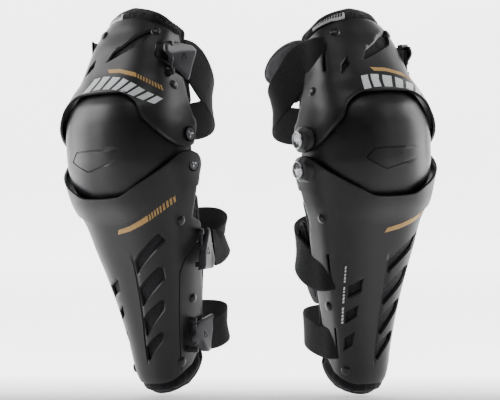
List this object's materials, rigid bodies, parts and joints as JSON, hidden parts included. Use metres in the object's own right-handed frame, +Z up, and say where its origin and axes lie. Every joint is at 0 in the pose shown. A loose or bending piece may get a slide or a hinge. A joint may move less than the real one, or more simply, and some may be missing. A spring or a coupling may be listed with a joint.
{
  "type": "hinged knee and shin guards",
  "caption": "Pair of hinged motocross knee and shin guards: thigh shell, knee cup and shin shell on double pivots, with padded liners, elastic straps and swinging strap hooks.",
  "frame": {"origin": "midway between the two guards, at the height of the middle of the knee, where the pair meets its wearer", "axes": "+Z up the legs, +X from the left guard to the right guard, -Y towards the front; each guard is turned about Z, the left one 38 degrees and the right one 30 degrees outwards, and both lean 3 degrees"},
  "size_m": [0.4485, 0.2154, 0.4643],
  "materials": {
    "shell_plastic": "satin moulded plastic, near black",
    "cup_plastic": "smooth satin moulded plastic, black",
    "liner_fabric": "padded black textile",
    "wing_mesh": "perforated purple-black spacer mesh",
    "webbing": "woven black elastic",
    "binding": "ribbed black edge tape",
    "hook_plastic": "grey satin moulded plastic",
    "steel": "turned steel",
    "dark_steel": "black coated steel",
    "silver_ring": "silver satin ring",
    "rivet_plastic": "glossy black domed head",
    "vent_mesh": "fine perforated black mesh",
    "label_print": null,
    "fastener_fabric": "hook and loop tape",
    "print_gold": "muted gold print",
    "print_white": null
  },
  "bodies": {
    "left_shin": {"left_shin_shell": "shell_plastic", "left_shin_liner": "liner_fabric", "left_calf_wing": "wing_mesh", "left_calf_strap": "webbing", "left_ankle_strap": "webbing", "left_shin_hook_pins": "steel", "left_lower_hinge_cover": "shell_plastic", "left_lower_cap_ring": "silver_ring", "left_shin_rivets": "rivet_plastic", "left_shin_vent_mesh": "vent_mesh", "left_shin_fasteners": "fastener_fabric"},
    "left_knee": {"left_knee_cup": "cup_plastic", "left_knee_pad": "liner_fabric", "left_pivot_pins": "dark_steel", "left_pivot_washers": "steel"},
    "left_thigh": {"left_thigh_shell": "shell_plastic", "left_thigh_liner": "liner_fabric", "left_thigh_wing": "wing_mesh", "left_thigh_strap": "webbing", "left_thigh_hook_pin": "steel", "left_upper_hinge_cover": "shell_plastic", "left_upper_cap_ring": "silver_ring", "left_thigh_rivets": "rivet_plastic", "left_thigh_vent_mesh": "vent_mesh", "left_liner_label": "label_print", "left_thigh_fasteners": "fastener_fabric"},
    "left_thigh_hook": {"left_thigh_hook": "hook_plastic"},
    "left_calf_hook": {"left_calf_hook": "hook_plastic"},
    "left_ankle_hook": {"left_ankle_hook": "hook_plastic"},
    "right_shin": {"right_shin_shell": "shell_plastic", "right_shin_liner": "liner_fabric", "right_calf_wing": "wing_mesh", "right_calf_strap": "webbing", "right_ankle_strap": "webbing", "right_shin_hook_pins": "steel", "right_lower_hinge_cover": "shell_plastic", "right_lower_cap_ring": "silver_ring", "right_shin_rivets": "rivet_plastic", "right_shin_vent_mesh": "vent_mesh", "right_shin_fasteners": "fastener_fabric"},
    "right_knee": {"right_knee_cup": "cup_plastic", "right_knee_pad": "liner_fabric", "right_pivot_pins": "dark_steel", "right_pivot_washers": "steel"},
    "right_thigh": {"right_thigh_shell": "shell_plastic", "right_thigh_liner": "liner_fabric", "right_thigh_wing": "wing_mesh", "right_thigh_strap": "webbing", "right_thigh_hook_pin": "steel", "right_upper_hinge_cover": "shell_plastic", "right_upper_cap_ring": "silver_ring", "right_thigh_rivets": "rivet_plastic", "right_thigh_vent_mesh": "vent_mesh", "right_liner_label": "label_print", "right_thigh_fasteners": "fastener_fabric"},
    "right_thigh_hook": {"right_thigh_hook": "hook_plastic"},
    "right_calf_hook": {"right_calf_hook": "hook_plastic"},
    "right_ankle_hook": {"right_ankle_hook": "hook_plastic"}
  },
  "joints": [
    {"name": "pair_spacing", "type": "slide", "parent": "left_shin", "child": "right_shin", "axis": [1, 0, 0], "range_m": [0, 0.15]},
    {"name": "left_lower_pivot", "type": "hinge", "parent": "left_shin", "child": "left_knee", "pos_m": [-0.13243, -0.00236, -0.01757], "axis": [-0.7869, 0.6157, -0.0412], "range_deg": [-6, 30]},
    {"name": "left_upper_pivot", "type": "hinge", "parent": "left_knee", "child": "left_thigh", "pos_m": [-0.13611, -0.00473, 0.01728], "axis": [-0.7869, 0.6157, -0.0412], "range_deg": [-6, 30]},
    {"name": "left_thigh_hook_swing", "type": "hinge", "parent": "left_thigh", "child": "left_thigh_hook", "pos_m": [-0.09183, -0.05071, 0.11073], "axis": [0.0523, 0, -0.9986], "range_deg": [0, 35]},
    {"name": "left_calf_hook_swing", "type": "hinge", "parent": "left_shin", "child": "left_calf_hook", "pos_m": [-0.05634, -0.01973, -0.11372], "axis": [0.0523, 0, -0.9986], "range_deg": [0, 35]},
    {"name": "left_ankle_hook_swing", "type": "hinge", "parent": "left_shin", "child": "left_ankle_hook", "pos_m": [-0.06526, -0.00468, -0.21833], "axis": [0.0523, 0, -0.9986], "range_deg": [0, 35]},
    {"name": "right_lower_pivot", "type": "hinge", "parent": "right_shin", "child": "right_knee", "pos_m": [0.13391, -0.0026, -0.0174], "axis": [-0.8648, -0.5, -0.0453], "range_deg": [-6, 30]},
    {"name": "right_upper_pivot", "type": "hinge", "parent": "right_knee", "child": "right_thigh", "pos_m": [0.13358, -0.0052, 0.01763], "axis": [-0.8648, -0.5, -0.0453], "range_deg": [-6, 30]},
    {"name": "right_thigh_hook_swing", "type": "hinge", "parent": "right_thigh", "child": "right_thigh_hook", "pos_m": [0.18976, 0.02311, 0.1117], "axis": [0.0523, 0, -0.9986], "range_deg": [0, 35]},
    {"name": "right_calf_hook_swing", "type": "hinge", "parent": "right_shin", "child": "right_calf_hook", "pos_m": [0.18177, 0.05668, -0.11503], "axis": [0.0523, 0, -0.9986], "range_deg": [0, 35]},
    {"name": "right_ankle_hook_swing", "type": "hinge", "parent": "right_shin", "child": "right_ankle_hook", "pos_m": [0.1679, 0.04898, -0.2199], "axis": [0.0523, 0, -0.9986], "range_deg": [0, 35]}
  ]
}
